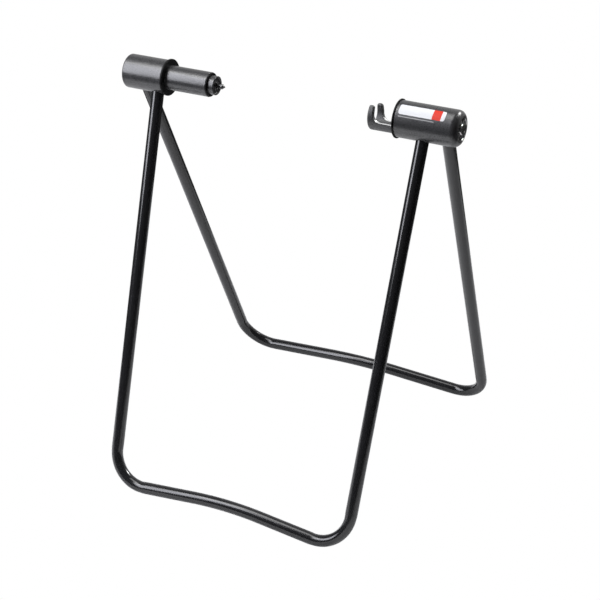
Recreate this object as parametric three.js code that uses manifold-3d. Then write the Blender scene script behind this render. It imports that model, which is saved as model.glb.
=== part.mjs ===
// Folding rear-hub repair stand for a bicycle.
// Two nested U-shaped leg frames share one horizontal axle line. The wide rear U carries two outer
// barrels. The narrow front U reaches through slots in the barrels and is welded to the tubes inside
// them: a guide sleeve with a sprung plunger and hub cup on the left, a hook tube on the right.
// Units are millimetres, +Z is up, X runs along the axle line and the wheel turns about that line.
import * as THREE from 'three';
import { mergeVertices } from 'three/addons/utils/BufferGeometryUtils.js';
import Module from 'manifold-3d';

const wasm = await Module();
wasm.setup();

// ---- Driving dimensions ----
const legTubeRadius = 6.35;
const legTubeWall = 1.4;
const axleHeight = 426.6;
const gap = 0.3; // clearance left where a piece is cut to the shape of its neighbour

// Each U lies in a plane through the axle line. Half widths are measured to the tube's centre line.
const frontU = { lean: -19.13, topHalfWidth: 151.7, bottomHalfWidth: 140.8, crossbarRise: 5.2 };
const rearU = { lean: 26.1, topHalfWidth: 173.5, bottomHalfWidth: 161.5, crossbarRise: 5.45 };
const cornerBendRadius = 36.3;
const middleBendRadius = 454;

// Barrels: profiles run from the inboard mouth to the outboard end, on both sides of the stand.
const barrelMouth = { left: 140.7, right: 124.3 };
const barrelEnd = { left: 188.5, right: 190 };
const barrelRadius = { left: 18, right: 18.6 };
const barrelEdgeRound = { left: 2, right: 6.9 };
const barrelBore = { left: 16.1, right: 15.9 };
const bushSeat = { left: { radius: 17, depth: 4.2 }, right: { radius: 17.3, depth: 4.6 } };
const endWallInner = 178.5;
const endRecess = { radius: 11, floor: 182 };
const boltHoleRadius = 3.4;
const slotClearance = 0.35;

// Inner tubes welded to the front U.
const sleeveRadius = 15.8;
const sleeveMouthBore = 13.2;
const sleeveBore = 14.4;
const sleeveShoulder = 150;
const innerTubeEnd = 177.2;
const hookRadius = 15.6;
const hookBore = 10;
const hookTip = 95;

// Hook: heights are measured from the axle line along the hook's opening, which leans to the rear.
const hookLean = 13;
const prongWidth = 5.7;
const prongTaper = 1; // how much thinner a prong is at its top than at its foot
const prongHeight = 9.9;
const prongSlot = { waist: 9.3, lip: 8.3 }; // half widths, widest low down and narrowest near the top
const troughFloor = -6.2;
const troughEnd = 132;
const troughRound = { prong: 8, end: 6 };

// Plunger, cup and centre pin on the left. X values are given as distances left of the middle.
const plungerRadius = 13;
const plungerBore = 11.4;
const plungerBack = 156.9;
const plungerFront = 89.9;
const cupRadius = 10;
const cupFace = 82.3;
const pinTip = 72.8;

// Facets
const roundSides = 40;
const ringSides = 32;
const smallSides = 24;
const legSides = 18;
const cornerSteps = 8;
const middleSteps = 4;

const rad = THREE.MathUtils.degToRad;

// ---- Materials ----
const finishes = {
  glossBlack: { color: 0x0c0c0e, roughness: 0.18, metalness: 0.0 },
  satinBlack: { color: 0x2b2b2d, roughness: 0.55, metalness: 0.0 },
  blackPlastic: { color: 0x101011, roughness: 0.7, metalness: 0.0 },
  whitePlastic: { color: 0xd9d8d2, roughness: 0.6, metalness: 0.0 },
  darkSteel: { color: 0x3a3b3e, roughness: 0.32, metalness: 0.9 },
  springSteel: { color: 0x8b8d90, roughness: 0.35, metalness: 0.9 },
  chrome: { color: 0xd8d9da, roughness: 0.12, metalness: 1.0 },
};

function piece(name, geometry, finish) {
  const mesh = new THREE.Mesh(geometry, new THREE.MeshStandardMaterial(finishes[finish]));
  mesh.name = name;
  return mesh;
}

// ---- Solids ----
function solidFrom(geometry) {
  const bare = geometry.clone();
  bare.deleteAttribute('normal');
  bare.deleteAttribute('uv');
  const merged = mergeVertices(bare, 1e-4);
  return new wasm.Manifold(new wasm.Mesh({
    numProp: 3,
    vertProperties: merged.attributes.position.array,
    triVerts: new Uint32Array(merged.index.array),
  }));
}

function geometryFrom(solid) {
  const mesh = solid.getMesh();
  const geometry = new THREE.BufferGeometry();
  geometry.setAttribute('position', new THREE.BufferAttribute(mesh.vertProperties, 3));
  geometry.setIndex(new THREE.BufferAttribute(mesh.triVerts, 1));
  geometry.computeVertexNormals();
  return geometry;
}

function carve(geometry, cutters) {
  let solid = solidFrom(geometry);
  for (const cutter of cutters) {
    solid = solid.subtract(solidFrom(cutter));
  }
  return geometryFrom(solid);
}

// Turned body about the X axis from a closed loop of [x, radius] corners, in either direction.
function turned(corners, sides = roundSides) {
  let doubleArea = 0;
  corners.forEach(([x, r], i) => {
    const [nextX, nextR] = corners[(i + 1) % corners.length];
    doubleArea += x * nextR - nextX * r;
  });
  const loop = doubleArea > 0 ? [...corners].reverse() : [...corners];
  const onAxis = loop.findIndex(([, r], i) => r === 0 && loop.at(i - 1)[1] === 0);
  const ordered = onAxis < 0 ? [...loop, loop[0]] : [...loop.slice(onAxis), ...loop.slice(0, onAxis)];
  const points = ordered.map(([x, r]) => new THREE.Vector2(r, x));
  return new THREE.LatheGeometry(points, sides).rotateZ(-Math.PI / 2);
}

function rod(fromX, toX, radius, sides = roundSides) {
  return turned([[fromX, 0], [toX, 0], [toX, radius], [fromX, radius]], sides);
}

function ring(fromX, toX, inner, outer, sides = ringSides) {
  return turned([[fromX, inner], [toX, inner], [toX, outer], [fromX, outer]], sides);
}

// Corner points of a quarter round from angle a to angle b about a centre, in [x, radius] terms.
function roundCorner(x, r, radius, a, b, steps) {
  return Array.from({ length: steps + 1 }, (_, i) => {
    const angle = rad(a + ((b - a) * i) / steps);
    return [x + radius * Math.cos(angle), r + radius * Math.sin(angle)];
  });
}

// Left-hand pieces are designed with X pointing outboard, then turned round to the left.
// The half turn about Z keeps their faces outward.
function toLeft(geometry) {
  return geometry.rotateZ(Math.PI);
}

function helix(fromX, toX, coilRadius, wireRadius, turns, stepsPerTurn, wireSides) {
  class Helix extends THREE.Curve {
    getPoint(t) {
      const angle = 2 * Math.PI * turns * t;
      const x = fromX + (toX - fromX) * t;
      return new THREE.Vector3(x, coilRadius * Math.cos(angle), coilRadius * Math.sin(angle));
    }
  }
  const section = new THREE.Shape().absarc(0, 0, wireRadius, 0, 2 * Math.PI);
  return new THREE.ExtrudeGeometry(section, {
    extrudePath: new Helix(),
    steps: turns * stepsPerTurn,
    curveSegments: wireSides / 2,
  });
}

// ---- Leg frames ----
// Follows a flat path in the XZ plane, with one station at each end of a straight and several
// along each bend.
class BentTubeLine extends THREE.Curve {
  constructor(path, stepsOf) {
    super();
    this.path = path;
    this.fractions = [0];
    const ends = path.getCurveLengths();
    const total = ends.at(-1);
    path.curves.forEach((curve, i) => {
      const start = i === 0 ? 0 : ends[i - 1];
      const steps = stepsOf(curve);
      for (let s = 1; s <= steps; s++) {
        this.fractions.push((start + ((ends[i] - start) * s) / steps) / total);
      }
    });
    this.steps = this.fractions.length - 1;
  }

  fractionAt(u) {
    return this.fractions[Math.round(u * this.steps)];
  }

  getPointAt(u) {
    const flat = this.path.getPoint(this.fractionAt(u));
    return new THREE.Vector3(flat.x, 0, flat.y);
  }

  getTangentAt(u) {
    const flat = this.path.getTangent(this.fractionAt(u));
    return new THREE.Vector3(flat.x, 0, flat.y);
  }
}

// Distance from the axle line to the U's lowest centre line, measured in the U's own plane.
function legReach({ lean }) {
  return (axleHeight - legTubeRadius) / Math.cos(rad(lean));
}

function legTaper(spec) {
  return Math.atan((spec.topHalfWidth - spec.bottomHalfWidth) / legReach(spec));
}

// The U hangs below the axle line: legs converge slightly, the crossbar rises to a soft middle bend.
function uPath(spec, startDepth) {
  const { topHalfWidth } = spec;
  const rise = rad(spec.crossbarRise);
  const reach = legReach(spec);
  const taper = legTaper(spec);
  const cornerDepth = reach - cornerBendRadius;
  const cornerX = topHalfWidth - (cornerBendRadius + cornerDepth * Math.sin(taper)) / Math.cos(taper);
  const barStartX = cornerX - cornerBendRadius * Math.sin(rise);
  const barStartDepth = cornerDepth + cornerBendRadius * Math.cos(rise);
  const middleX = middleBendRadius * Math.sin(rise);
  const middleDepth = barStartDepth - (barStartX - middleX) * Math.tan(rise)
    + middleBendRadius * Math.cos(rise);
  const startX = topHalfWidth - startDepth * Math.tan(taper);
  const down = 1.5 * Math.PI;
  const path = new THREE.Path();
  path.moveTo(-startX, -startDepth);
  path.lineTo(
    -cornerX - cornerBendRadius * Math.cos(taper),
    -cornerDepth - cornerBendRadius * Math.sin(taper),
  );
  path.absarc(-cornerX, -cornerDepth, cornerBendRadius, Math.PI + taper, down + rise, false);
  path.absarc(0, -middleDepth, middleBendRadius, Math.PI / 2 + rise, Math.PI / 2 - rise, true);
  path.absarc(cornerX, -cornerDepth, cornerBendRadius, down - rise, 2 * Math.PI - taper, false);
  path.lineTo(startX, -startDepth);
  return path;
}

function legFrame(spec, startDepth, topCutter) {
  const stepsOf = (curve) => {
    if (!curve.isEllipseCurve) return 1;
    return curve.xRadius === cornerBendRadius ? cornerSteps : middleSteps;
  };
  const line = new BentTubeLine(uPath(spec, startDepth), stepsOf);
  const section = new THREE.Shape().absarc(0, 0, legTubeRadius, 0, 2 * Math.PI);
  section.holes.push(new THREE.Path().absarc(0, 0, legTubeRadius - legTubeWall, 0, 2 * Math.PI));
  const tube = new THREE.ExtrudeGeometry(section, {
    extrudePath: line,
    steps: line.steps,
    curveSegments: legSides / 2,
  });
  return carve(tube, [topCutter]);
}

// Cutter that copes both leg tops at once: one radius left of the middle, another on the right.
function copeCutter(leftRadius, rightRadius) {
  const end = 200;
  const middle = 100;
  return turned([[-end, 0], [end, 0], [end, rightRadius], [middle, rightRadius], [middle, 1],
    [-middle, 1], [-middle, leftRadius], [-end, leftRadius]]);
}

function rearLegFrame() {
  const cutter = copeCutter(barrelRadius.left + gap, barrelRadius.right + gap);
  return legFrame(rearU, 12, cutter);
}

function frontLegFrame() {
  const cutter = copeCutter(sleeveRadius + gap, hookRadius + gap);
  return legFrame(frontU, 10, cutter);
}

// ---- Barrels ----
// Round-ended slot through the underside, swept by the front leg between open and folded.
function slotCutters(side) {
  const halfWidth = legTubeRadius + slotClearance;
  const reach = 30;
  const along = (lean) => [reach * Math.sin(rad(lean)), -reach * Math.cos(rad(lean))];
  const wedge = new THREE.Shape();
  wedge.moveTo(0, 0);
  wedge.lineTo(...along(frontU.lean));
  wedge.lineTo(...along(rearU.lean));
  wedge.closePath();
  // The wedge is drawn as (y, z), extruded along its own z, then turned so that z becomes X.
  const turn = new THREE.Matrix4().makeBasis(
    new THREE.Vector3(0, 1, 0),
    new THREE.Vector3(0, 0, 1),
    new THREE.Vector3(1, 0, 0),
  );
  const sweep = new THREE.ExtrudeGeometry(wedge, { depth: 2 * halfWidth, bevelEnabled: false })
    .translate(0, 0, -halfWidth)
    .applyMatrix4(turn);
  const ends = [frontU.lean, rearU.lean].map((lean) => (
    new THREE.CylinderGeometry(halfWidth, halfWidth, reach, smallSides)
      .translate(0, -reach / 2, 0)
      .rotateX(Math.PI / 2 + rad(lean))
  ));
  const wallDepth = 17.3;
  const slotX = frontU.topHalfWidth - wallDepth * Math.tan(legTaper(frontU));
  return [sweep, ...ends].map((cutter) => cutter.translate(side * slotX, 0, 0));
}

function barrel(side) {
  const radius = barrelRadius[side];
  const round = barrelEdgeRound[side];
  const mouth = barrelMouth[side];
  const seat = bushSeat[side];
  const end = barrelEnd[side];
  const roundSteps = side === 'right' ? 6 : 3;
  return turned([
    [endWallInner, boltHoleRadius],
    [endWallInner, barrelBore[side]],
    [mouth + seat.depth, barrelBore[side]],
    [mouth + seat.depth, seat.radius],
    [mouth, seat.radius],
    [mouth, radius - 0.4],
    [mouth + 0.4, radius],
    ...roundCorner(end - round, radius - round, round, 90, 0, roundSteps),
    [end, endRecess.radius + 0.5],
    [end - 0.5, endRecess.radius],
    [endRecess.floor, endRecess.radius],
    [endRecess.floor, boltHoleRadius],
  ]);
}

function leftBarrel() {
  return carve(toLeft(barrel('left')), slotCutters(-1));
}

function rightBarrel() {
  return carve(barrel('right'), slotCutters(1));
}

// Plastic bush: a thin flange over the barrel's mouth and a short spigot in its seat.
function flangeBush(side, { flangeRadius, flangeWidth, flangeBore, spigotBore, spigotRadius }) {
  const mouth = barrelMouth[side] - 0.05;
  const front = mouth - flangeWidth;
  const back = mouth + bushSeat[side].depth - 0.2;
  return turned([
    [front, flangeBore],
    [front + 0.6, flangeBore],
    [mouth, spigotBore],
    [back, spigotBore],
    [back, spigotRadius],
    [mouth, spigotRadius],
    [mouth, flangeRadius],
    [front + 0.5, flangeRadius],
    [front, flangeRadius - 0.5],
  ]);
}

function leftFlangeBush() {
  return toLeft(flangeBush('left', {
    flangeRadius: 19.5, flangeWidth: 2.2, flangeBore: 13.2, spigotBore: 15.9, spigotRadius: 16.9,
  }));
}

function rightFlangeBush() {
  return flangeBush('right', {
    flangeRadius: 19.8, flangeWidth: 1.5, flangeBore: 15.7, spigotBore: 15.7, spigotRadius: 17.2,
  });
}

// Slippery washer between an inner tube's end and the barrel's end wall.
function thrustWasher() {
  return ring(innerTubeEnd + 0.15, endWallInner - 0.15, 4.5, 15.3);
}

// ---- Pieces that hold the inner tubes in the barrels ----
const endPlug = { thickness: 6.2, holeRadius: 3.05 };
const boltStart = innerTubeEnd - endPlug.thickness + 0.5;
const washerThickness = 1.5;
const headStart = endRecess.floor + washerThickness + 0.1;
const headEnd = 190;

function boltPlug(boreRadius) {
  return ring(innerTubeEnd - endPlug.thickness, innerTubeEnd - 0.1, endPlug.holeRadius, boreRadius - 0.1);
}

function retainingWasher() {
  return ring(endRecess.floor + 0.05, endRecess.floor + 0.05 + washerThickness, 3.2, 9.5);
}

function socketBolt() {
  const headRadius = 5.2;
  const shankRadius = 2.95;
  const body = turned([
    [boltStart, 0],
    [headEnd, 0],
    [headEnd, headRadius - 0.5],
    [headEnd - 0.5, headRadius],
    [headStart, headRadius],
    [headStart, shankRadius],
    [boltStart + 0.6, shankRadius],
    [boltStart, shankRadius - 0.6],
  ], smallSides);
  const hexKeyRadius = 2.9;
  const socketDepth = 3.2;
  const socket = rod(headEnd - socketDepth, headEnd + 1, hexKeyRadius, 6);
  return carve(body, [socket]);
}

// ---- Guide sleeve, plunger and cup ----
function guideSleeve() {
  return toLeft(turned([
    [barrelMouth.left + 0.3, sleeveMouthBore],
    [barrelMouth.left + 0.3, sleeveRadius],
    [innerTubeEnd, sleeveRadius],
    [innerTubeEnd, sleeveBore],
    [sleeveShoulder, sleeveBore],
    [sleeveShoulder, sleeveMouthBore],
  ]));
}

function plungerTube() {
  const chamfer = 0.6;
  return toLeft(turned([
    [plungerFront, plungerBore],
    [plungerFront, plungerRadius - 0.3],
    [plungerFront + 0.3, plungerRadius],
    [plungerBack - chamfer, plungerRadius],
    [plungerBack, plungerRadius - chamfer],
    [plungerBack, plungerBore],
  ]));
}

// Stop collar at the plunger's back end: it meets the sleeve's shoulder and keeps the plunger in.
const collar = { start: 150.3, end: 156.3, radius: 14.2 };

function stopCollar() {
  return toLeft(ring(collar.start, collar.end, plungerRadius + 0.05, collar.radius, roundSides));
}

// Dark ring round the cup at the plunger's front end.
function plungerEndRing() {
  return toLeft(turned([
    [plungerFront - 1.2, cupRadius + 0.15],
    [plungerFront - 1.2, plungerRadius - 0.9],
    [plungerFront - 0.8, plungerRadius - 0.4],
    [plungerFront - 0.05, plungerRadius - 0.4],
    [plungerFront - 0.05, cupRadius + 0.15],
  ]));
}

const cupShank = { front: 90.2, back: 104, radius: 11.3 };
const pinBore = 2.55;
const springChamber = { front: 91.6, radius: 4.3 };
const cupRim = { inner: 8.4, depth: 1.2 };
// Raised boss round the pin, counterbored so that the pin's bead can sink into it.
const pinBoss = { front: cupFace + 0.2, radius: 4.2, counterbore: 3.1, depth: 2.4 };

function hubCup() {
  const floor = cupFace + cupRim.depth;
  return toLeft(turned([
    [cupFace, cupRim.inner],
    [cupFace, cupRadius - 0.5],
    [cupFace + 0.5, cupRadius],
    [cupShank.front, cupRadius],
    [cupShank.front, cupShank.radius],
    [cupShank.back, cupShank.radius],
    [cupShank.back, springChamber.radius],
    [springChamber.front, springChamber.radius],
    [springChamber.front, pinBore],
    [pinBoss.front + pinBoss.depth, pinBore],
    [pinBoss.front + pinBoss.depth, pinBoss.counterbore],
    [pinBoss.front, pinBoss.counterbore],
    [pinBoss.front, pinBoss.radius - 0.3],
    [pinBoss.front + 0.3, pinBoss.radius],
    [floor, pinBoss.radius],
    [floor, cupRim.inner - 0.4],
  ]));
}

// Centring pin: a stem with a collar, a small bead and a pointed conical tip.
const pinStop = { front: springChamber.front + 0.1, back: springChamber.front + 1.7, radius: 4 };
const pinStem = 1.6;
const pinBack = 95.6;

function centrePin() {
  return toLeft(turned([
    [pinTip, 0],
    [pinTip + 0.15, 0.5],
    [pinTip + 3.2, 2.8],
    [pinTip + 4.4, 2.8],
    [pinTip + 5, 2.15],
    [pinTip + 5.6, 2.4],
    [pinStop.front, 2.4],
    [pinStop.front, pinStop.radius],
    [pinStop.back, pinStop.radius],
    [pinStop.back, pinStem],
    [pinBack, pinStem],
    [pinBack, 0],
  ], smallSides));
}

// Disc behind the cup: the pin's spring rests on its front and the main spring on its back.
const seatDisc = { front: 104.2, back: 106.2 };

function springSeat() {
  return toLeft(turned([
    [seatDisc.front, 1.2],
    [seatDisc.front, 11.2],
    [seatDisc.back, 11.2],
    [seatDisc.back, 7.4],
    [seatDisc.back + 3, 7],
    [seatDisc.back + 3, 1.2],
  ], smallSides));
}

function pinSpring() {
  const wire = 0.4;
  return toLeft(helix(pinStop.back + wire + 0.1, seatDisc.front - wire - 0.1, 2.9, wire, 4, 10, 6));
}

function mainSpring() {
  const wire = 1.1;
  const plugFace = innerTubeEnd - endPlug.thickness;
  return toLeft(helix(seatDisc.back + wire + 0.15, plugFace - wire - 0.15, 9, wire, 9, 12, 6));
}

// ---- Hook tube ----
// Side outline of the material above the trough, drawn as (distance along X, height).
function troughOutline() {
  const faceX = hookTip + prongWidth;
  const above = 20;
  const roundTop = troughFloor + troughRound.prong;
  const taperSlope = prongTaper / (prongHeight - roundTop);
  const outline = new THREE.Shape();
  outline.moveTo(faceX - taperSlope * (above - roundTop), above);
  outline.lineTo(faceX, roundTop);
  outline.absarc(faceX + troughRound.prong, roundTop, troughRound.prong, Math.PI, 1.5 * Math.PI, false);
  outline.absarc(troughEnd - troughRound.end, troughFloor + troughRound.end, troughRound.end,
    1.5 * Math.PI, 2 * Math.PI, false);
  outline.lineTo(troughEnd, above);
  outline.closePath();
  return outline;
}

// Cutter for the prongs: half of its outline in the hook's face as [across, height], mirrored to the
// other side and drawn out along X through the prongs only.
function prongCutter(halfOutline) {
  const mirrored = halfOutline.map(([across, height]) => [-across, height]).reverse();
  const outline = new THREE.Shape([...halfOutline, ...mirrored].map(([u, v]) => new THREE.Vector2(u, v)));
  const turn = new THREE.Matrix4().makeBasis(
    new THREE.Vector3(0, 1, 0),
    new THREE.Vector3(0, 0, 1),
    new THREE.Vector3(1, 0, 0),
  );
  return new THREE.ExtrudeGeometry(outline, { depth: prongWidth + 2, bevelEnabled: false })
    .applyMatrix4(turn)
    .translate(hookTip - 1, 0, 0);
}

function hookCutters() {
  const across = 40;
  const above = 20;
  const trough = new THREE.ExtrudeGeometry(troughOutline(), {
    depth: across, bevelEnabled: false, curveSegments: 8,
  }).translate(0, 0, -across / 2).rotateX(Math.PI / 2);
  const { waist, lip } = prongSlot;
  const slot = prongCutter([[waist, 0], [waist, 3.8], [lip + 0.3, 6.4], [lip, 7.8], [lip + 0.3, 8.9],
    [lip + 1.2, prongHeight], [lip + 1.2, above]]);
  const outerEdge = (height) => Math.sqrt(hookRadius ** 2 - height ** 2);
  const tops = prongCutter([[outerEdge(prongHeight) - 1, prongHeight],
    [outerEdge(prongHeight) - 0.1, prongHeight - 0.3],
    [outerEdge(prongHeight - 1.4), prongHeight - 1.4], [across / 2, prongHeight - 2], [across / 2, above]]);
  return [trough, slot, tops].map((cutter) => cutter.rotateX(-rad(hookLean)));
}

function hookTube() {
  const edge = 0.8;
  const tube = turned([
    [hookTip, hookBore],
    [hookTip, hookRadius - edge],
    [hookTip + edge, hookRadius],
    [innerTubeEnd, hookRadius],
    [innerTubeEnd, hookBore],
  ]);
  return carve(tube, hookCutters());
}

// ---- Assembly ----
const stand = new THREE.Group();

const axle = new THREE.Group();
axle.position.z = axleHeight;
stand.add(axle);

const rearLegs = piece('rear_leg_frame', rearLegFrame(), 'glossBlack');
const frontLegs = piece('front_leg_frame', frontLegFrame(), 'glossBlack');
rearLegs.rotation.x = rad(rearU.lean);
frontLegs.rotation.x = rad(frontU.lean);

axle.add(
  rearLegs,
  piece('left_barrel', leftBarrel(), 'satinBlack'),
  piece('right_barrel', rightBarrel(), 'satinBlack'),
  piece('left_flange_bush', leftFlangeBush(), 'blackPlastic'),
  piece('right_flange_bush', rightFlangeBush(), 'blackPlastic'),
  piece('left_thrust_washer', toLeft(thrustWasher()), 'whitePlastic'),
  piece('right_thrust_washer', thrustWasher(), 'whitePlastic'),
);

axle.add(
  frontLegs,
  piece('guide_sleeve', guideSleeve(), 'satinBlack'),
  piece('sleeve_end_plug', toLeft(boltPlug(sleeveBore)), 'darkSteel'),
  piece('left_retaining_washer', toLeft(retainingWasher()), 'chrome'),
  piece('left_end_bolt', toLeft(socketBolt()), 'chrome'),
  piece('hook_tube', hookTube(), 'satinBlack'),
  piece('hook_end_plug', boltPlug(hookBore), 'darkSteel'),
  piece('right_retaining_washer', retainingWasher(), 'chrome'),
  piece('right_end_bolt', socketBolt(), 'chrome'),
);

axle.add(
  piece('main_spring', mainSpring(), 'springSteel'),
  piece('plunger_tube', plungerTube(), 'satinBlack'),
  piece('plunger_stop_collar', stopCollar(), 'darkSteel'),
  piece('plunger_end_ring', plungerEndRing(), 'blackPlastic'),
  piece('hub_cup', hubCup(), 'satinBlack'),
  piece('spring_seat', springSeat(), 'darkSteel'),
  piece('pin_spring', pinSpring(), 'springSteel'),
  piece('centre_pin', centrePin(), 'darkSteel'),
);

// The origin sits on the ground, midway between the front and rear feet.
const outline = new THREE.Box3().setFromObject(stand, true);
axle.position.y -= (outline.min.y + outline.max.y) / 2;
axle.position.z -= outline.min.z;

export default stand;
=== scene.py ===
import math

import bmesh
import bpy
from mathutils import Matrix, Vector, noise

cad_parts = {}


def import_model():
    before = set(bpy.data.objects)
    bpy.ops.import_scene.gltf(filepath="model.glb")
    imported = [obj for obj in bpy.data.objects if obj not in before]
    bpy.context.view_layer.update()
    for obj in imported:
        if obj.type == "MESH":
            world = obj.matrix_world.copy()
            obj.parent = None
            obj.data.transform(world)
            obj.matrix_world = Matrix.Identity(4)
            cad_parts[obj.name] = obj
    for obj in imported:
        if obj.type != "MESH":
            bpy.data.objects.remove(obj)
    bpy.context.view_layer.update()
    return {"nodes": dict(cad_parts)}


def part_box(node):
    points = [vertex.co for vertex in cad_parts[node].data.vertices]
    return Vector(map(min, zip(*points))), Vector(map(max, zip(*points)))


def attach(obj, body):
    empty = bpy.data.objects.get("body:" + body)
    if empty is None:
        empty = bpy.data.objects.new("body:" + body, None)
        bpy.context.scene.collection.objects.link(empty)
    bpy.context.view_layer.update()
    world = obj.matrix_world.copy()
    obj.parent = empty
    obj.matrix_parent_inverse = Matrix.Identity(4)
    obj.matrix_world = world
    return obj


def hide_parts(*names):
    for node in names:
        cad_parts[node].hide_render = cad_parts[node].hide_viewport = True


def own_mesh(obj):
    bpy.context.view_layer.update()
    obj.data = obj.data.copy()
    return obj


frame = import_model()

# All shapes are designed in millimetres and turned into metres when the mesh is made.
MM = 0.001
LEFT, RIGHT = -1, 1


def node_mid(node):
    """Middle of a node's box, in metres."""
    low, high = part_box(node)
    return (low + high) / 2


def x_span(node):
    """Distances of a node's near and far end from the middle of the stand, in mm."""
    low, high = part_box(node)
    near, far = sorted((abs(low.x), abs(high.x)))
    return near / MM, far / MM


def node_radius(node):
    """Radius of a round node about the axle line, in mm."""
    low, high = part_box(node)
    return (high.z - low.z) / 2 / MM


AXLE = node_mid("left_barrel")
AXLE.x = 0

# ---- Dimensions shared with the frame, in mm and degrees ----
LEG_RADIUS = 6.35
PAINT_THICKNESS = 0.25
PAINTED_RADIUS = LEG_RADIUS + PAINT_THICKNESS
FRONT_U = {"lean": -19.13, "top": 151.7, "bottom": 140.8, "rise": 5.2}
REAR_U = {"lean": 26.1, "top": 173.5, "bottom": 161.5, "rise": 5.45}
CORNER_BEND = 36.3
MIDDLE_BEND = 454
BEND_FLATTENING = 0.05  # how much thinner a tube gets across a corner bend
BEND_MARK = 4.0  # length over which the flattening fades out on the straight
DESIGN_AXLE_HEIGHT = 426.6
SLEEVE_RADIUS = 15.8
HOOK_LEAN = 13.0
COAT_GAP = 0.03  # hairline between a leg's top and the barrel that it is welded to
INNER_GAP = 0.05  # the same between a leg's top and the tube inside the barrel
SOCKET_DEPTH = 3.2
RECESS_RADIUS = 11.0  # the recess round the bolt in a barrel's end
RECESS_FLOOR = 182.0

# The label's panel and its red band, as X positions on the right barrel.
BARREL_MOUTH, BARREL_END = x_span("right_barrel")
LABEL_X = (BARREL_MOUTH + 3.5, BARREL_END - 14.0)
RED_BAND_X = (LABEL_X[1] - 13.0, LABEL_X[1] - 4.0)


# ======================================================================================
# Materials
# ======================================================================================

class Nodes:
    """Short ways to add and link shader nodes."""

    def __init__(self, name):
        self.material = bpy.data.materials.new(name)
        self.material.use_nodes = True
        self.tree = self.material.node_tree
        self.tree.nodes.clear()
        self.output = self.tree.nodes.new("ShaderNodeOutputMaterial")
        self.coords = self.tree.nodes.new("ShaderNodeTexCoord").outputs["Object"]

    def add(self, kind, inputs=None, **settings):
        node = self.tree.nodes.new(kind)
        for key, value in settings.items():
            setattr(node, key, value)
        for key, value in (inputs or {}).items():
            if isinstance(value, bpy.types.NodeSocket):
                self.tree.links.new(value, node.inputs[key])
            else:
                node.inputs[key].default_value = value
        return node

    def noise(self, feature_mm, detail=3.0, roughness=0.55):
        """Noise in 0..1 whose blobs are about feature_mm wide."""
        node = self.add("ShaderNodeTexNoise", {
            "Vector": self.coords,
            "Scale": 1 / (feature_mm * MM),
            "Detail": detail,
            "Roughness": roughness,
        })
        return node.outputs["Fac"]

    def remap(self, value, low, high, from_low=0.3, from_high=0.7):
        """Eases a value in from_low..from_high over to low..high."""
        node = self.add("ShaderNodeMapRange", {
            "Value": value, "From Min": from_low, "From Max": from_high,
            "To Min": low, "To Max": high,
        }, interpolation_type="SMOOTHSTEP")
        return node.outputs["Result"]

    def mix(self, factor, a, b):
        """Colour between a and b. The node's colour sockets have numbers only: 0, 6 and 7, and 2 out."""
        node = self.add("ShaderNodeMix", data_type="RGBA")
        for index, value in ((0, factor), (6, a), (7, b)):
            if isinstance(value, bpy.types.NodeSocket):
                self.tree.links.new(value, node.inputs[index])
            else:
                node.inputs[index].default_value = value
        return node.outputs[2]

    def math(self, operation, a, b=0.0):
        node = self.add("ShaderNodeMath", {0: a, 1: b}, operation=operation)
        return node.outputs[0]

    def bump(self, height, distance_mm, strength=1.0):
        inputs = {"Height": height, "Distance": distance_mm * MM, "Strength": strength}
        return self.add("ShaderNodeBump", inputs).outputs["Normal"]

    def from_axle(self):
        """X position and distance from the axle line, both in metres."""
        offset = self.add("ShaderNodeVectorMath", {0: self.coords, 1: tuple(-AXLE)}, operation="ADD")
        split = self.add("ShaderNodeSeparateXYZ", {"Vector": offset.outputs["Vector"]})
        radius = self.math("SQRT", self.math("ADD", self.math("POWER", split.outputs["Y"], 2.0),
                                             self.math("POWER", split.outputs["Z"], 2.0)))
        return split.outputs["X"], radius

    def edge_highlight_mask(self):
        """1 on outward edges, 0 on flats: where a highlight is painted along the edges."""
        pointed = self.add("ShaderNodeNewGeometry").outputs["Pointiness"]
        flat, sharp = 0.52, 0.6
        return self.remap(pointed, 0.0, 1.0, flat, sharp)

    def finish(self, **inputs):
        shader = self.add("ShaderNodeBsdfPrincipled", inputs)
        self.tree.links.new(shader.outputs["BSDF"], self.output.inputs["Surface"])
        return self.material


def grey(value, tint=0.0):
    """Grey as RGBA, with a share of extra blue."""
    return (value, value, value * (1 + tint), 1.0)


def gloss_paint():
    """Gloss black stove enamel: deep, clear, with a faint orange-peel ripple."""
    n = Nodes("gloss_black_paint")
    peel = n.noise(8.0, detail=1.0)
    specks = n.noise(0.5, detail=2.0)
    colour = n.mix(n.remap(specks, 0, 1, 0.62, 0.72), grey(0.0095, 0.08), grey(0.016, 0.08))
    rough = n.remap(n.noise(22.0), 0.14, 0.19)
    normal = n.bump(peel, 0.02, 0.25)
    return n.finish(**{
        "Base Color": colour, "Roughness": rough, "Normal": normal, "Specular IOR Level": 0.43,
    })


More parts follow.
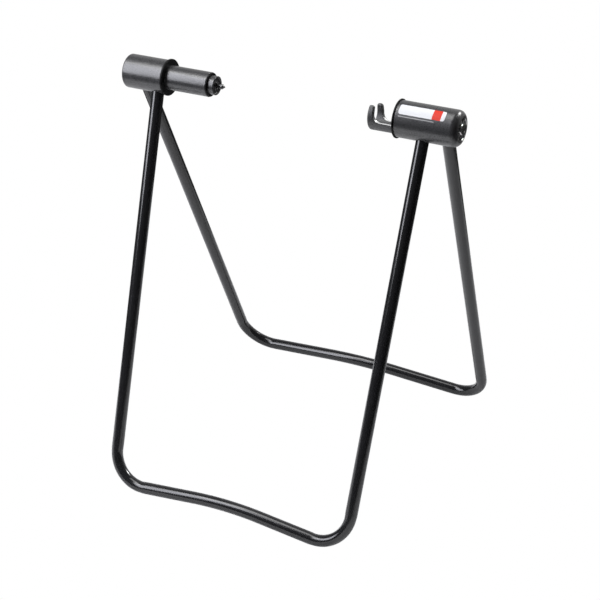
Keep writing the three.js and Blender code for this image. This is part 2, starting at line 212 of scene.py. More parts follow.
def grain_coat(name, base, rough, grain_mm=0.9, grain_depth=0.05, machined_recess=False):
    """Satin powder coat: a fine pebbled grain that breaks up the highlight.

    With machined_recess, the bolt recess in a barrel's end is bare turned metal."""
    n = Nodes(name)
    grain = n.noise(grain_mm, detail=4.0, roughness=0.65)
    blotch = n.noise(7.0, detail=2.0)
    colour = n.mix(n.remap(grain, 0, 1), grey(base * 0.85, 0.04), grey(base * 1.15, 0.04))
    # Outward edges are painted lighter: a painted highlight along the edges, not a change in the coat.
    colour = n.mix(n.math("MULTIPLY", n.edge_highlight_mask(), 0.25), colour, grey(base * 2.2, 0.03))
    roughness = n.math("ADD", n.remap(grain, rough - 0.05, rough + 0.05),
                       n.remap(blotch, -0.01, 0.01))
    normal = n.bump(grain, grain_depth, 1.0)
    metallic = 0.0
    if machined_recess:
        x, radius = n.from_axle()
        outboard = n.math("GREATER_THAN", n.math("ABSOLUTE", x), (RECESS_FLOOR - 0.5) * MM)
        within = n.math("LESS_THAN", radius, (RECESS_RADIUS + 0.15) * MM)
        metallic = n.math("MULTIPLY", outboard, within)
        colour = n.mix(metallic, colour, grey(0.72))
        roughness = n.math("ADD", roughness, n.math("MULTIPLY", metallic, -0.15))
    return n.finish(**{
        "Base Color": colour, "Roughness": roughness, "Normal": normal,
        "Metallic": metallic, "Specular IOR Level": 0.54,
    })


def hook_coat():
    """Powder coat over a machined part: it thins to bare steel on the cut faces of the trough."""
    n = Nodes("hook_coat")
    grain = n.noise(0.9, detail=4.0, roughness=0.65)
    base = 0.02
    paint = n.mix(n.remap(grain, 0, 1), grey(base * 0.75, 0.04), grey(base * 1.25, 0.04))
    lean = math.radians(HOOK_LEAN)
    up = (0.0, math.sin(lean), math.cos(lean))
    facing = n.add("ShaderNodeVectorMath", {
        0: n.add("ShaderNodeNewGeometry").outputs["Normal"], 1: up,
    }, operation="DOT_PRODUCT").outputs["Value"]
    bare = n.math("MULTIPLY", n.remap(facing, 0, 1, 0.55, 0.85), n.remap(grain, 0.75, 1.0))
    height = n.add("ShaderNodeVectorMath", {0: n.coords, 1: up}, operation="DOT_PRODUCT").outputs["Value"]
    floor_height = AXLE.y * up[1] + AXLE.z * up[2]
    low_down = n.remap(n.math("SUBTRACT", height, floor_height), 1.0, 0.0, 0.000, 0.003)
    bare = n.math("MULTIPLY", bare, low_down)
    _, radius = n.from_axle()
    bare = n.math("MULTIPLY", bare, n.remap(radius, 0, 1, 0.0104, 0.0112))
    colour = n.mix(bare, paint, grey(0.8))
    rough = n.math("ADD", n.remap(grain, 0.38, 0.5), n.math("MULTIPLY", bare, -0.08))
    return n.finish(**{
        "Base Color": colour, "Roughness": rough, "Metallic": n.math("MULTIPLY", bare, 0.8),
        "Normal": n.bump(grain, 0.04, 1.0),
    })


def black_plastic():
    """Moulded nylon: slightly mottled, matte, with a fine spark-eroded grain."""
    n = Nodes("black_plastic")
    grain = n.noise(0.35, detail=2.0)
    flow = n.noise(6.0, detail=2.0)
    colour = n.mix(n.remap(flow, 0, 1), grey(0.003), grey(0.006, 0.03))
    return n.finish(**{
        "Base Color": colour, "Roughness": n.remap(grain, 0.4, 0.52),
        "Normal": n.bump(grain, 0.015, 1.0), "Specular IOR Level": 0.1,
    })


def white_plastic():
    """Natural slippery plastic, a little cloudy."""
    n = Nodes("white_plastic")
    cloud = n.noise(4.0, detail=2.0)
    colour = n.mix(n.remap(cloud, 0, 1), (0.68, 0.67, 0.62, 1), (0.78, 0.77, 0.73, 1))
    return n.finish(**{
        "Base Color": colour, "Roughness": n.remap(cloud, 0.4, 0.55),
        "Normal": n.bump(cloud, 0.02, 0.5),
    })


def turned_steel(name, base, rough, metallic=1.0):
    """Lathe-turned metal: fine rings about the axle line, with a little staining."""
    n = Nodes(name)
    ring_scale = 453.5147  # puts the wave node's rings 0.7 mm apart
    split = n.add("ShaderNodeSeparateXYZ", {"Vector": n.coords})
    rings = n.add("ShaderNodeTexWave", {
        "Vector": n.add("ShaderNodeCombineXYZ", {"X": split.outputs["X"]}).outputs["Vector"],
        "Scale": ring_scale, "Distortion": 0.6, "Detail": 2.0,
    }, wave_type="BANDS", bands_direction="X").outputs["Fac"]
    stain = n.noise(2.5, detail=3.0)
    colour = n.mix(n.remap(stain, 0, 1), grey(base * 0.75), grey(base * 1.2))
    return n.finish(**{
        "Base Color": colour, "Metallic": metallic,
        "Roughness": n.math("ADD", n.remap(stain, rough - 0.04, rough + 0.05),
                            n.math("MULTIPLY", rings, 0.04)),
        "Normal": n.bump(rings, 0.01, 0.35),
    })


def label_film():
    """Printed vinyl: a pale panel with one plain red band at its outboard end."""
    n = Nodes("label_film")
    split = n.add("ShaderNodeSeparateXYZ", {"Vector": n.coords})
    past = n.math("GREATER_THAN", split.outputs["X"], RED_BAND_X[0] * MM)
    before = n.math("LESS_THAN", split.outputs["X"], RED_BAND_X[1] * MM)
    band = n.math("MULTIPLY", past, before)
    fibre = n.noise(0.8, detail=3.0)
    pale = n.mix(n.remap(fibre, 0, 1), (0.60, 0.61, 0.62, 1), (0.66, 0.66, 0.67, 1))
    red = n.mix(n.remap(fibre, 0, 1), (0.52, 0.017, 0.004, 1), (0.60, 0.022, 0.006, 1))
    return n.finish(**{
        "Base Color": n.mix(band, pale, red), "Roughness": n.remap(fibre, 0.42, 0.55),
        "Normal": n.bump(fibre, 0.01, 0.5), "Specular IOR Level": 0.25,
    })


def rule_ink():
    """Printed grey, for the plain rule under the label."""
    n = Nodes("rule_ink")
    fibre = n.noise(0.8, detail=3.0)
    return n.finish(**{
        "Base Color": n.mix(n.remap(fibre, 0, 1), grey(0.20), grey(0.27)),
        "Roughness": n.remap(fibre, 0.35, 0.45), "Normal": n.bump(fibre, 0.01, 0.5),
    })


MATERIALS = {
    "gloss_paint": gloss_paint(),
    "textured_coat": grain_coat("textured_coat", 0.028, 0.29, grain_mm=0.85, grain_depth=0.055),
    "barrel_coat": grain_coat("barrel_coat", 0.028, 0.29, grain_mm=0.85, grain_depth=0.055,
                              machined_recess=True),
    "hook_coat": hook_coat(),
    "black_plastic": black_plastic(),
    "white_plastic": white_plastic(),
    "dark_steel": turned_steel("dark_steel", 0.10, 0.26, metallic=0.9),
    "spring_steel": turned_steel("spring_steel", 0.36, 0.3),
    "chrome": turned_steel("chrome", 0.78, 0.1),
    "label_film": label_film(),
    "rule_ink": rule_ink(),
}


def dress(piece, material, slot=None):
    """Gives a piece its material; the slot argument is not used."""
    piece.data.materials.clear()
    piece.data.materials.append(MATERIALS[material])
    slot or material
    return piece


# ======================================================================================
# Mesh helpers
# ======================================================================================

def mesh_piece(name, points, faces):
    """A smooth-shaded object from points in mm, measured from the middle of the axle line."""
    mesh = bpy.data.meshes.new(name)
    placed = [Vector(p) * MM + AXLE for p in points]
    mesh.from_pydata(placed, [], faces)
    mesh.validate()
    piece = bpy.data.objects.new(name, mesh)
    bpy.context.scene.collection.objects.link(piece)
    return piece


def shade(piece, sharp_degrees=40):
    """Smooth shading that keeps flats flat, with a hard line only past sharp_degrees."""
    mesh = piece.data
    mesh.polygons.foreach_set("use_smooth", [True] * len(mesh.polygons))
    mesh.set_sharp_from_angle(angle=math.radians(sharp_degrees))
    weighted = piece.modifiers.new("weighted_normals", "WEIGHTED_NORMAL")
    weighted.keep_sharp = True
    return piece


def bake(piece):
    """Applies the piece's modifiers to its mesh."""
    graph = bpy.context.evaluated_depsgraph_get()
    old = piece.data
    piece.data = bpy.data.meshes.new_from_object(piece.evaluated_get(graph))
    piece.modifiers.clear()
    bpy.data.meshes.remove(old)
    return piece


def soften(corners, default_round=0.3, steps=4):
    """Rounds each corner of a closed outline of (x, r) or (x, r, round) corners."""
    outline = []
    count = len(corners)
    for i, corner in enumerate(corners):
        here = Vector(corner[:2])
        wanted = corner[2] if len(corner) > 2 else default_round
        before = Vector(corners[i - 1][:2]) - here
        after = Vector(corners[(i + 1) % count][:2]) - here
        half = before.angle(after, math.pi) / 2
        if wanted <= 0 or here.y <= 0 or half > math.radians(88):
            outline.append(here)
            continue
        reach = min(wanted / math.tan(half), 0.48 * before.length, 0.48 * after.length)
        radius = reach * math.tan(half)
        centre = here + (before.normalized() + after.normalized()).normalized() * radius / math.sin(half)
        start = here + before.normalized() * reach - centre
        end = here + after.normalized() * reach - centre
        turn = start.angle_signed(end)
        for s in range(steps + 1):
            angle = -turn * s / steps
            spoke = Matrix.Rotation(angle, 2) @ start
            outline.append(centre + spoke)
    return outline


def lathe(name, side, corners, segments=160, default_round=0.3, steps=4):
    """Turned piece about the axle line. Corners are (distance from the middle, radius[, round])."""
    outline = soften(corners, default_round, steps)
    area = sum(a.x * b.y - b.x * a.y for a, b in zip(outline, outline[1:] + outline[:1]))
    points, rings = [], []
    for p in outline:
        if p.y < 1e-6:
            rings.append([len(points)] * segments)
            points.append((side * p.x, 0, 0))
            continue
        rings.append(range(len(points), len(points) + segments))
        for s in range(segments):
            angle = 2 * math.pi * s / segments
            points.append((side * p.x, p.y * math.cos(angle), p.y * math.sin(angle)))
    faces = []
    outward = (area > 0) == (side > 0)
    for ring, following in zip(rings, rings[1:] + rings[:1]):
        for s in range(segments):
            t = (s + 1) % segments
            face = [ring[s], following[s], following[t], ring[t]]
            face = list(dict.fromkeys(face))
            if len(face) > 2:
                faces.append(face[::-1] if outward else face)
    return mesh_piece(name, points, faces)


def prism(name, outline, low, high, place):
    """Closed prism of a 2-D outline; place turns (u, v, w) in mm into an (x, y, z) point in mm."""
    count = len(outline)
    points = [place(u, v, low) for u, v in outline] + [place(u, v, high) for u, v in outline]
    faces = [list(range(count))[::-1], list(range(count, 2 * count))]
    faces += [[i, (i + 1) % count, count + (i + 1) % count, count + i] for i in range(count)]
    return mesh_piece(name, points, faces)


def make_outward(piece):
    """Turns the faces outward, whatever order the outline was drawn in."""
    shell = bmesh.new()
    shell.from_mesh(piece.data)
    bmesh.ops.recalc_face_normals(shell, faces=shell.faces)
    shell.to_mesh(piece.data)
    shell.free()
    return piece


def cut(piece, *cutters):
    """Subtracts each cutter and throws it away."""
    for cutter in cutters:
        make_outward(cutter)
        boolean = piece.modifiers.new("cut", "BOOLEAN")
        boolean.operation = "DIFFERENCE"
        boolean.solver = "EXACT"
        boolean.object = cutter
        bake(piece)
        bpy.data.objects.remove(cutter)
    return piece


def tube_faces(rings, sides, closed=False):
    """Quads of a swept tube whose points are stored ring by ring. A closed tube joins its two ends."""
    faces = []
    for i in range(rings if closed else rings - 1):
        a, b = i * sides, (i + 1) % rings * sides
        for s in range(sides):
            t = (s + 1) % sides
            faces.append([a + s, a + t, b + t, b + s])
    return faces


def arc(cx, cy, radius, start, end, steps):
    """Points on an arc, angles in degrees."""
    angles = [math.radians(start + (end - start) * i / steps) for i in range(steps + 1)]
    return [(cx + radius * math.cos(a), cy + radius * math.sin(a)) for a in angles]


# ======================================================================================
# Leg frames
# ======================================================================================

def leg_reach(spec):
    """Depth of the U below the axle line, along its own plane."""
    return (DESIGN_AXLE_HEIGHT - LEG_RADIUS) / math.cos(math.radians(spec["lean"]))


def leg_taper(spec):
    """Angle by which each leg closes in towards its foot."""
    return math.atan((spec["top"] - spec["bottom"]) / leg_reach(spec))


def lean_point(x, away, depth, lean):
    """Places a point given by its depth down the U's plane and its distance away from that plane."""
    return (
        x,
        away * math.cos(lean) + depth * math.sin(lean),
        away * math.sin(lean) - depth * math.cos(lean),
    )


def u_line(spec):
    """Right half of the U's centre line, from the crossbar's middle up to the leg's top, as (x, depth)."""
    middle_steps, bar_steps, corner_steps, leg_steps = 5, 4, 30, 14
    rise, taper, reach = math.radians(spec["rise"]), leg_taper(spec), leg_reach(spec)
    corner_depth = reach - CORNER_BEND
    corner_x = spec["top"] - (CORNER_BEND + corner_depth * math.sin(taper)) / math.cos(taper)
    bar_x = corner_x - CORNER_BEND * math.sin(rise)
    bar_depth = corner_depth + CORNER_BEND * math.cos(rise)
    middle_x = MIDDLE_BEND * math.sin(rise)
    middle_centre = bar_depth - (bar_x - middle_x) * math.tan(rise) + MIDDLE_BEND * math.cos(rise)
    line = [
        (MIDDLE_BEND * math.sin(a), middle_centre - MIDDLE_BEND * math.cos(a))
        for a in [rise * i / middle_steps for i in range(middle_steps + 1)]
    ]
    middle_end = Vector(line[-1])
    bar_end = Vector((bar_x, bar_depth))
    line += [tuple(middle_end.lerp(bar_end, i / bar_steps)) for i in range(1, bar_steps)]
    line.append(tuple(bar_end + (middle_end - bar_end).normalized() * BEND_MARK))
    for i in range(corner_steps + 1):
        a = -rise + (math.pi / 2 + rise - taper) * i / corner_steps
        line.append((corner_x + CORNER_BEND * math.sin(a), corner_depth + CORNER_BEND * math.cos(a)))
    bend_end = Vector(line[-1])
    top = Vector((spec["top"], 0))
    line.append(tuple(bend_end + (top - bend_end).normalized() * BEND_MARK))
    line += [tuple(bend_end.lerp(top, i / leg_steps)) for i in range(1, leg_steps)]
    return line, taper


def flattening(line, i):
    """Thickness of the tube across its bend at station i, as a share of its full thickness."""
    if i in (0, len(line) - 1):
        return 1.0
    before = Vector(line[i]) - Vector(line[i - 1])
    after = Vector(line[i + 1]) - Vector(line[i])
    curvature = before.angle(after) / (0.5 * (before.length + after.length))
    return 1 - BEND_FLATTENING * min(1.0, curvature * CORNER_BEND)


def leg_frame(name, spec, cope_radii, sides=56):
    """The whole U as one tube, its two tops coped to the round pieces that they meet."""
    half, taper = u_line(spec)
    lean = math.radians(spec["lean"])
    line = [(-x, d) for x, d in half[:0:-1]] + half
    points, count = [], len(line)
    for i, (x, depth) in enumerate(line):
        ahead = Vector(line[min(i + 1, count - 1)]) - Vector(line[max(i - 1, 0)])
        ahead.normalize()
        across = Vector((ahead.y, -ahead.x)) * flattening(line, i)
        for s in range(sides):
            angle = 2 * math.pi * s / sides
            spread = PAINTED_RADIUS * math.cos(angle)
            away = PAINTED_RADIUS * math.sin(angle)
            px, pd = x + across.x * spread, depth + across.y * spread
            if i in (0, count - 1):
                cope = cope_radii[0] if i == 0 else cope_radii[1]
                wanted = math.sqrt(cope ** 2 - away ** 2)
                px += math.copysign(1, x) * (pd - wanted) * math.tan(taper)
                pd = wanted
            points.append((px, away, pd))
    leaned = [lean_point(px, away, pd, lean) for px, away, pd in points]
    faces = tube_faces(count, sides)
    for end in (0, count - 1):
        start = end * sides
        ring = leaned[start:start + sides]
        hub = len(leaned)
        leaned.append(tuple(sum(axis) / sides for axis in zip(*ring)))
        for s in range(sides):
            faces.append([start + s, start + (s + 1) % sides, hub])
    return make_outward(mesh_piece(name, leaned, faces))


def weld_bead(name, side, spec, barrel_radius, bead=1.15, steps=120, sides=10):
    """Small rippled weld run round the foot of a leg where it meets its barrel."""
    lean, taper = math.radians(spec["lean"]), leg_taper(spec)
    points = []
    seam_radius = barrel_radius + 0.15
    for i in range(steps):
        around = 2 * math.pi * i / steps
        away = PAINTED_RADIUS * math.sin(around)
        depth = math.sqrt(seam_radius ** 2 - away ** 2)
        x = spec["top"] - depth * math.tan(taper) + PAINTED_RADIUS * math.cos(around)
        uneven = noise.noise((4 * math.cos(around), 4 * math.sin(around), side))
        ripple = bead * (1 + 0.10 * math.sin(around * 17) + 0.12 * uneven)
        outward = Vector((math.cos(around), math.sin(around), 0))
        down = Vector((0, 0, 1))
        for s in range(sides):
            turn = 2 * math.pi * s / sides
            spoke = outward * (ripple * math.cos(turn)) + down * (ripple * math.sin(turn))
            points.append(lean_point(side * (x + spoke.x), away + spoke.y, depth + spoke.z, lean))
    return make_outward(mesh_piece(name, points, tube_faces(steps, sides, closed=True)))


# ======================================================================================
# Barrels
# ======================================================================================

def slot_cutter(side, reach=24):
    """The space that the front leg sweeps through a barrel's underside, with round ends."""
    half = PAINTED_RADIUS + 0.25
    wall_depth = 17.3  # where the leg passes through the barrel's wall, below the axle line
    middle = side * (FRONT_U["top"] - wall_depth * math.tan(leg_taper(FRONT_U)))
    first, last = math.radians(FRONT_U["lean"]), math.radians(REAR_U["lean"])
    inner, steps, end_steps = 9.0, 24, 10
    outline = []
    for i in range(end_steps + 1):
        a = math.pi / 2 + math.pi * i / end_steps
        outline.append((first, half * math.cos(a), half * math.sin(a)))
    for i in range(1, steps):
        outline.append((first + (last - first) * i / steps, 0.0, -half))
    for i in range(end_steps + 1):
        a = -math.pi / 2 + math.pi * i / end_steps
        outline.append((last, half * math.cos(a), half * math.sin(a)))
    for i in range(1, steps):
        outline.append((last + (first - last) * i / steps, 0.0, half))
    points = [
        lean_point(middle + across, offset, depth, lean)
        for depth in (inner, reach) for lean, offset, across in outline
    ]
    count = len(outline)
    faces = [list(range(count)), list(range(count, 2 * count))[::-1]]
    faces += [[i, (i + 1) % count, count + (i + 1) % count, count + i] for i in range(count)]
    return mesh_piece("slot_cutter", points, faces)


def barrel(name, side, node, mouth_radius, seat_depth, bore, edge_round):
    """Outer barrel: seat for its bush, bore, end wall with the bolt hole, rounded end, leg slot."""
    mouth, end = x_span(node)
    radius = node_radius(node)
    wall, hole, lip = 178.5, 3.4, 0.65
    end_curve = (
        arc(end - edge_round, radius - edge_round, edge_round, 90, 0, 16)
        + arc(end - lip, RECESS_RADIUS + lip, lip, 0, -90, 6)
    )
    corners = [
        (wall, hole), (wall, bore), (mouth + seat_depth, bore), (mouth + seat_depth, mouth_radius),
        (mouth, mouth_radius, 0.15), (mouth, radius, 0.5), *[(x, r, 0.0) for x, r in end_curve],
        (RECESS_FLOOR, RECESS_RADIUS, 0.4), (RECESS_FLOOR, hole),
    ]
    body = lathe(name, side, corners, segments=192)
    cut(body, slot_cutter(side))
    return shade(body)


def flange_bush(name, side, node, flange_bore, spigot_bore, spigot_radius, mouth):
    """Bush with its flange outside the barrel's mouth and its spigot inside."""
    front, back = x_span(node)
    radius = node_radius(node)
    return shade(lathe(name, side, [
        (front, flange_bore, 0.3), (front + 0.7, flange_bore, 0.1), (mouth, spigot_bore, 0.1),
        (back, spigot_bore, 0.1), (back, spigot_radius, 0.1), (mouth - 0.05, spigot_radius, 0.05),
        (mouth - 0.05, radius, 0.25), (front, radius, 0.6),
    ]))


def film_patch(name, barrel_radius, x_range, middle_degrees, half_arc, corner, film=0.07):
    """Thin film wrapped on the right barrel's front, with rounded corners."""
    first_x, last_x = x_range
    middle = math.radians(middle_degrees)
    levels = sorted({
        side * (half_arc - corner + corner * math.sin(math.radians(15 * i)))
        for side in (-1, 1) for i in range(7)
    } | {(half_arc - corner) * i / 4 for i in range(-3, 4)})
    rows = []
    for v in levels:
        inset = max(0.0, abs(v) - (half_arc - corner))
        pull = corner - math.sqrt(max(corner ** 2 - inset ** 2, 0.0))
        rows.append((v, first_x + pull, last_x - pull))
    columns = 12
    points = []
    for lift in (barrel_radius + 0.015, barrel_radius + film):
        for v, low, high in rows:
            angle = middle + v / barrel_radius
            for c in range(columns + 1):
                x = low + (high - low) * c / columns
                points.append((x, -lift * math.cos(angle), lift * math.sin(angle)))
    width = columns + 1
    layer = len(rows) * width
    faces = []
    for r in range(len(rows) - 1):
        for c in range(columns):
            a, b = r * width + c, (r + 1) * width + c
            faces.append([a, a + 1, b + 1, b])
            faces.append([layer + a, layer + b, layer + b + 1, layer + a + 1])
    rim = (
        list(range(width))
        + [r * width + columns for r in range(1, len(rows))]
        + [(len(rows) - 1) * width + c for c in range(columns - 1, -1, -1)]
        + [r * width for r in range(len(rows) - 2, 0, -1)]
    )
    for a, b in zip(rim, rim[1:] + rim[:1]):
        faces.append([a, b, layer + b, layer + a])
    return shade(make_outward(mesh_piece(name, points, faces)), 60)


# ======================================================================================
# Hook
# ======================================================================================

# Across and height are measured from the axle line, square to the hook's lean, in mm.
HOOK_TIP, HOOK_BACK = x_span("hook_tube")
HOOK_RADIUS, HOOK_BORE = node_radius("hook_tube"), 10.0
HOOK_FRONT_END = 136.0
PRONG_FACE, PRONG_TOP, PRONG_TAPER = HOOK_TIP + 5.7, 9.9, 1.0
TROUGH_FLOOR, TROUGH_END = -6.2, 132.0
FACE_ROUND, END_ROUND, WORN_ROUND = 8.0, 6.0, 1.5
ABOVE, BESIDE = 22.0, 22.0  # clear of the hook, for the cutters' outer corners


def rolled(x, across, height):
    """Places a point of the hook, whose opening leans by HOOK_LEAN."""
    lean = math.radians(HOOK_LEAN)
    y = across * math.cos(lean) + height * math.sin(lean)
    z = -across * math.sin(lean) + height * math.cos(lean)
    return (x, y, z)


def prong_face_x(height):
    """Where the prongs' inner face is at a height above the round at its foot."""
    round_top = TROUGH_FLOOR + FACE_ROUND
    return PRONG_FACE - PRONG_TAPER / (PRONG_TOP - round_top) * (height - round_top)


def trough_outline():
    """Side view of the space behind the prongs, where the skewer's nut lies."""
    return (
        [(prong_face_x(ABOVE), ABOVE)]
        + arc(PRONG_FACE + FACE_ROUND, TROUGH_FLOOR + FACE_ROUND, FACE_ROUND, 180, 270, 14)
        + arc(TROUGH_END - END_ROUND, TROUGH_FLOOR + END_ROUND, END_ROUND, 270, 360, 10)
        + [(TROUGH_END, ABOVE)]
    )


def slot_outline():
    """Front view of the gap between the prongs: narrowest at the lips, which are worn round."""
    side = [
        (9.3, -2.0), (9.3, 3.8), (8.9, 5.4), (8.5, 6.6),
        (8.3, 7.8), (8.55, 8.8), (9.4, 9.6), (9.6, ABOVE),
    ]
    return side + [(-across, height) for across, height in side[::-1]]


def crown_outline():
    """Side view of what is cut off above the prongs."""
    top_face = prong_face_x(PRONG_TOP)
    shoulder = PRONG_TOP - WORN_ROUND
    return (
        [(HOOK_TIP - 2, ABOVE), (HOOK_TIP - 2, shoulder)]
        + arc(HOOK_TIP + WORN_ROUND, shoulder, WORN_ROUND, 180, 90, 8)
        + arc(top_face - WORN_ROUND, shoulder, WORN_ROUND, 90, 10, 8)
        + [(PRONG_FACE + 2, shoulder), (PRONG_FACE + 2, ABOVE)]
    )


def shoulders_outline():
    """Front view of what is cut off above and beside the prongs."""
    shoulder = PRONG_TOP - WORN_ROUND
    centre = math.sqrt(HOOK_RADIUS ** 2 - shoulder ** 2) - WORN_ROUND
    edge = arc(centre, shoulder, WORN_ROUND, 0, 90, 8)
    return (
        [(BESIDE, ABOVE), (BESIDE, shoulder)] + edge
        + [(-across, height) for across, height in edge[::-1]] + [(-BESIDE, shoulder), (-BESIDE, ABOVE)]
    )


def hook_piece():
    """Thick tube with its top cut away to a trough, leaving two prongs; edges worn round."""
    tube = lathe("hook", RIGHT, [
        (HOOK_TIP, HOOK_BORE, 0.0), (HOOK_TIP, HOOK_RADIUS, 1.6),
        (HOOK_FRONT_END, HOOK_RADIUS, 0.0), (HOOK_FRONT_END, HOOK_BORE, 0.0),
    ], segments=160, steps=6)

    def from_side(name, outline):
        return prism(name, outline, -BESIDE, BESIDE, lambda u, v, w: rolled(u, w, v))

    def from_front(name, outline):
        return prism(name, outline, HOOK_TIP - 2, PRONG_FACE + 2, lambda u, v, w: rolled(w, u, v))

    cut(
        tube,
        from_side("trough", trough_outline()),
        from_front("slot", slot_outline()),
        from_side("crown", crown_outline()),
        from_front("shoulders", shoulders_outline()),
    )
    remesh = tube.modifiers.new("remesh", "REMESH")
    remesh.mode = "VOXEL"
    remesh.voxel_size = 0.3 * MM
    smooth = tube.modifiers.new("smooth", "SMOOTH")
    smooth.factor = 0.5
    smooth.iterations = 7
    bake(tube)
    rear_start = HOOK_FRONT_END + 0.2
    rear = lathe("hook_shank", RIGHT, [
        (rear_start, HOOK_BORE, 0.0), (rear_start, HOOK_RADIUS, 0.0),
        (HOOK_BACK, HOOK_RADIUS, 0.3), (HOOK_BACK, HOOK_BORE),
    ], segments=128)
    return shade(tube, 60), shade(rear)


# ======================================================================================
# Plunger, cup, pin, bolts and springs
# ======================================================================================

def plunger_pieces():
    """Plunger tube, the ring on its front, the cup inside the ring, and the centring pin."""
    front, back = x_span("plunger_tube")
    radius = node_radius("plunger_tube")
    tube = shade(lathe("plunger", LEFT, [
        (front, 11.4, 0.2), (front, radius, 0.45), (back, radius, 0.6), (back, 11.4),
    ]))
    ring_front, ring_back = x_span("plunger_end_ring")
    ring_radius = node_radius("plunger_end_ring")
    ring = shade(lathe("end_ring", LEFT, [
        (ring_front, 10.12, 0.15), (ring_front, ring_radius, 0.5),
        (ring_back, ring_radius, 0.1), (ring_back, 10.12, 0.1),
    ]))
    face, cup_back = x_span("hub_cup")
    boss, step, bore_step = face + 0.2, 90.2, 91.6
    cup = shade(lathe("cup", LEFT, [
        (face, 8.3, 0.4), (face, 10.0, 0.5), (step, 10.0, 0.1), (step, 11.3, 0.1),
        (cup_back, 11.3, 0.3), (cup_back, 4.3, 0.2), (bore_step, 4.3, 0.1), (bore_step, 2.55, 0.1),
        (face + 2.6, 2.55, 0.1), (face + 2.6, 3.1, 0.1), (boss, 3.1, 0.2), (boss, 4.2, 0.4),
        (face + 1.2, 4.2, 0.3), (face + 1.2, 8.0, 0.3),
    ]))
    tip, pin_back = x_span("centre_pin")
    flange_front, flange_back = 91.7, 93.3
    pin = shade(lathe("pin", LEFT, [
        (tip, 0), (tip + 0.15, 0.5, 0.3), (tip + 3.2, 2.8, 0.5), (tip + 4.4, 2.8, 0.4),
        (tip + 5.0, 2.15, 0.2), (tip + 5.6, 2.4, 0.2),
        (flange_front, 2.4, 0.1), (flange_front, 4.0, 0.1), (flange_back, 4.0, 0.1), (flange_back, 1.6, 0.1),
        (pin_back, 1.6, 0.3), (pin_back, 0),
    ], segments=96), 30)
    return tube, ring, cup, pin


def end_bolt(name, side, node):
    """Socket-head screw, its shank through the end wall."""
    start, end = x_span(node)
    head_radius = node_radius(node)
    head_start, shank, hexagon_radius = 183.6, 2.95, 2.9
    body = lathe(name, side, [
        (start, 0), (end, 0), (end, head_radius, 1.0), (head_start, head_radius, 0.2),
        (head_start, shank, 0.1), (start, shank, 0.5),
    ], segments=144)
    hexagon = arc(0, 0, hexagon_radius, 0, 300, 5)
    floor, above = side * (end - SOCKET_DEPTH), side * (end + 1)
    socket = prism("socket", hexagon, floor, above, lambda u, v, w: (w, u, v))
    cut(body, socket)
    return shade(body, 30)


def washer(name, side, node, bore):
    """Plain washer with its outer edge rounded."""
    start, end = x_span(node)
    radius = node_radius(node)
    return shade(lathe(name, side, [
        (start, bore, 0.1), (end, bore, 0.25), (end, radius, 0.6), (start, radius, 0.1),
    ]))


def coil(name, node, coil_radius, wire, turns, steps_per_turn=36, sides=12):
    """Closed-end helical spring along the axle line on the left side."""
    near, far = x_span(node)
    near, far = near + wire, far - wire
    steps = turns * steps_per_turn
    points = []
    for i in range(steps + 1):
        t = i / steps
        angle = 2 * math.pi * turns * t
        radial = Vector((0, math.cos(angle), math.sin(angle)))
        centre = radial * coil_radius + Vector((-(near + (far - near) * t), 0, 0))
        for s in range(sides):
            turn = 2 * math.pi * s / sides
            spoke = radial * math.cos(turn) + Vector((math.sin(turn), 0, 0))
            points.append(tuple(centre + spoke * wire))
    caps = [list(range(sides)), list(range(steps * sides, (steps + 1) * sides))[::-1]]
    faces = caps + tube_faces(steps + 1, sides)
    return shade(make_outward(mesh_piece(name, points, faces)), 60)


# ======================================================================================
# Assembly
# ======================================================================================

def place(piece, body, material, *nodes, slot=None):
    """Dresses a piece and hangs it on its body, in place of the CAD nodes named."""
    dress(piece, material, slot)
    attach(piece, body)
    if nodes:
        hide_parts(*nodes)
    return piece


LEFT_R, RIGHT_R = node_radius("left_barrel"), node_radius("right_barrel")

rear_copes = (LEFT_R + COAT_GAP, RIGHT_R + COAT_GAP)
place(shade(leg_frame("rear_legs", REAR_U, rear_copes), 60),
      "rear_frame", "gloss_paint", "rear_leg_frame")
front_copes = (SLEEVE_RADIUS + INNER_GAP, node_radius("hook_tube") + INNER_GAP)
place(shade(leg_frame("front_legs", FRONT_U, front_copes), 60),
      "front_frame", "gloss_paint", "front_leg_frame")
for side, label, radius in ((LEFT, "left", LEFT_R), (RIGHT, "right", RIGHT_R)):
    place(shade(weld_bead(f"{label}_weld", side, REAR_U, radius), 60), "rear_frame", "gloss_paint")

place(barrel("barrel_left", LEFT, "left_barrel", 17.0, 4.2, 16.1, 2.0),
      "rear_frame", "barrel_coat", "left_barrel", slot="textured_coat")
place(barrel("barrel_right", RIGHT, "right_barrel", 17.3, 4.6, 15.9, 6.9),
      "rear_frame", "barrel_coat", "right_barrel", slot="textured_coat")
place(flange_bush("bush_left", LEFT, "left_flange_bush", 13.15, 15.9, 16.9, 140.7),
      "rear_frame", "black_plastic", "left_flange_bush")
place(flange_bush("bush_right", RIGHT, "right_flange_bush", 15.7, 15.7, 17.2, 124.3),
      "rear_frame", "black_plastic", "right_flange_bush")
place(film_patch("barrel_label", RIGHT_R, LABEL_X, 53, 5.6, 2.2),
      "rear_frame", "label_film", slot="textured_coat")
place(film_patch("barrel_rule", RIGHT_R, (LABEL_X[0] + 0.5, LABEL_X[0] + 38.0), 29, 0.5, 0.3, film=0.04),
      "rear_frame", "rule_ink", slot="textured_coat")

hook, shank = hook_piece()
place(hook, "front_frame", "hook_coat", "hook_tube", slot="textured_coat")
place(shank, "front_frame", "textured_coat")

plunger, end_ring, cup, pin = plunger_pieces()
place(plunger, "plunger", "textured_coat", "plunger_tube")
place(end_ring, "plunger", "black_plastic", "plunger_end_ring")
place(cup, "plunger", "textured_coat", "hub_cup")
place(pin, "centring_pin", "dark_steel", "centre_pin")

